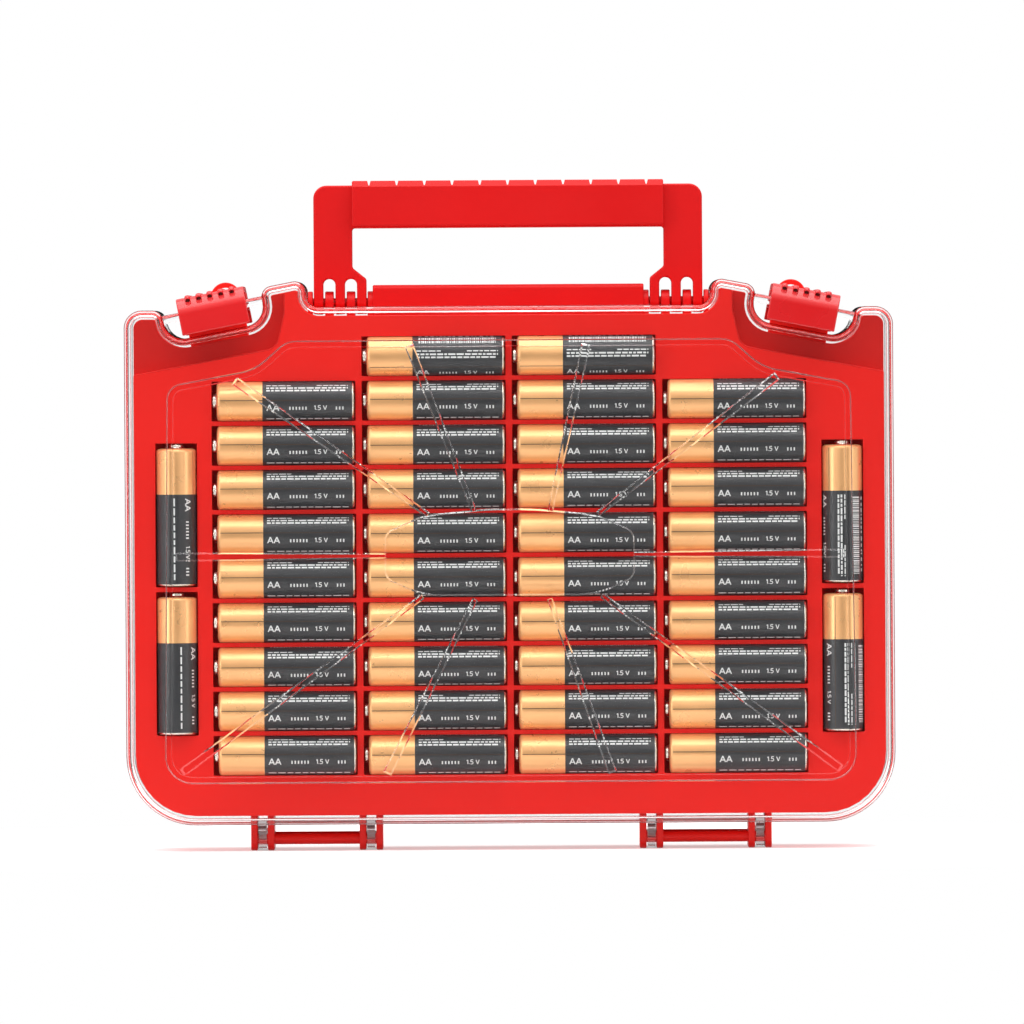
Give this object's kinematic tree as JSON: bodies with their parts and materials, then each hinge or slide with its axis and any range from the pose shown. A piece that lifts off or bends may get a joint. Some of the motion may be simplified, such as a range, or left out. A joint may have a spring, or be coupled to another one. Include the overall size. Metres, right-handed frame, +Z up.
{
  "type": "battery storage case",
  "caption": "Upright two-sided battery case: red tray of AA cells between two clear hinged lids, with latches and a carry handle.",
  "frame": {"origin": "on the surface that the case stands on, under the middle of its bounding box", "axes": "+X along the width, with the AA face seen from -Y; +Y through the depth towards the face with the larger wells; +Z up"},
  "size_m": [0.2742, 0.072, 0.2393],
  "materials": {
    "red_tray": "moulded gloss",
    "red_handle": "moulded gloss",
    "red_latch": "moulded gloss",
    "clear_lid": "clear gloss",
    "cell_sleeve": "printed film"
  },
  "bodies": {
    "case": {"tray": "red_tray", "tray_shoulders": "red_tray", "hinge_cheeks": "red_tray", "handle_mount": "red_tray", "latch_catches": "red_tray", "handle_pin_left": "red_handle", "handle_pin_right": "red_handle", "back_hinge_rod_left": "red_tray", "back_hinge_rod_right": "red_tray", "front_hinge_rod_left": "red_tray", "front_hinge_rod_right": "red_tray", "aa_cell_a02": "cell_sleeve", "aa_cell_a03": "cell_sleeve", "aa_cell_a04": "cell_sleeve", "aa_cell_a05": "cell_sleeve", "aa_cell_a06": "cell_sleeve", "aa_cell_a07": "cell_sleeve", "aa_cell_a08": "cell_sleeve", "aa_cell_a09": "cell_sleeve", "aa_cell_a10": "cell_sleeve", "aa_cell_b01": "cell_sleeve", "aa_cell_b02": "cell_sleeve", "aa_cell_b03": "cell_sleeve", "aa_cell_b04": "cell_sleeve", "aa_cell_b05": "cell_sleeve", "aa_cell_b06": "cell_sleeve", "aa_cell_b07": "cell_sleeve", "aa_cell_b08": "cell_sleeve", "aa_cell_b09": "cell_sleeve", "aa_cell_b10": "cell_sleeve", "aa_cell_c01": "cell_sleeve", "aa_cell_c02": "cell_sleeve", "aa_cell_c03": "cell_sleeve", "aa_cell_c04": "cell_sleeve", "aa_cell_c05": "cell_sleeve", "aa_cell_c06": "cell_sleeve", "aa_cell_c07": "cell_sleeve", "aa_cell_c08": "cell_sleeve", "aa_cell_c09": "cell_sleeve", "aa_cell_c10": "cell_sleeve", "aa_cell_d02": "cell_sleeve", "aa_cell_d03": "cell_sleeve", "aa_cell_d04": "cell_sleeve", "aa_cell_d05": "cell_sleeve", "aa_cell_d06": "cell_sleeve", "aa_cell_d07": "cell_sleeve", "aa_cell_d08": "cell_sleeve", "aa_cell_d09": "cell_sleeve", "aa_cell_d10": "cell_sleeve", "aa_cell_left_lower": "cell_sleeve", "aa_cell_left_upper": "cell_sleeve", "aa_cell_right_lower": "cell_sleeve", "aa_cell_right_upper": "cell_sleeve"},
    "back_lid": {"back_lid": "clear_lid"},
    "front_lid": {"front_lid": "clear_lid"},
    "handle": {"handle": "red_handle"},
    "back_latch_left": {"back_latch_left": "red_latch"},
    "back_latch_right": {"back_latch_right": "red_latch"},
    "front_latch_left": {"front_latch_left": "red_latch"},
    "front_latch_right": {"front_latch_right": "red_latch"}
  },
  "joints": [
    {"name": "back_lid_hinge", "type": "hinge", "parent": "case", "child": "back_lid", "pos_m": [0, -0.012, 0.0041], "axis": [1, 0, 0], "range_deg": [0, 120]},
    {"name": "front_lid_hinge", "type": "hinge", "parent": "case", "child": "front_lid", "pos_m": [0, 0.012, 0.0041], "axis": [-1, 0, 0], "range_deg": [0, 120]},
    {"name": "handle_swing", "type": "hinge", "parent": "case", "child": "handle", "pos_m": [0, 0, 0.1958], "axis": [1, 0, 0], "range_deg": [-75, 75]},
    {"name": "back_latch_left_pivot", "type": "hinge", "parent": "back_lid", "child": "back_latch_left", "pos_m": [-0.1054, -0.03, 0.1933], "axis": [0.9816, 0, 0.1908], "range_deg": [0, 100]},
    {"name": "back_latch_right_pivot", "type": "hinge", "parent": "back_lid", "child": "back_latch_right", "pos_m": [0.1054, -0.03, 0.1933], "axis": [0.9816, 0, -0.1908], "range_deg": [0, 100]},
    {"name": "front_latch_left_pivot", "type": "hinge", "parent": "front_lid", "child": "front_latch_left", "pos_m": [-0.1054, 0.03, 0.1933], "axis": [-0.9816, 0, -0.1908], "range_deg": [0, 100]},
    {"name": "front_latch_right_pivot", "type": "hinge", "parent": "front_lid", "child": "front_latch_right", "pos_m": [0.1054, 0.03, 0.1933], "axis": [-0.9816, 0, 0.1908], "range_deg": [0, 100]}
  ]
}
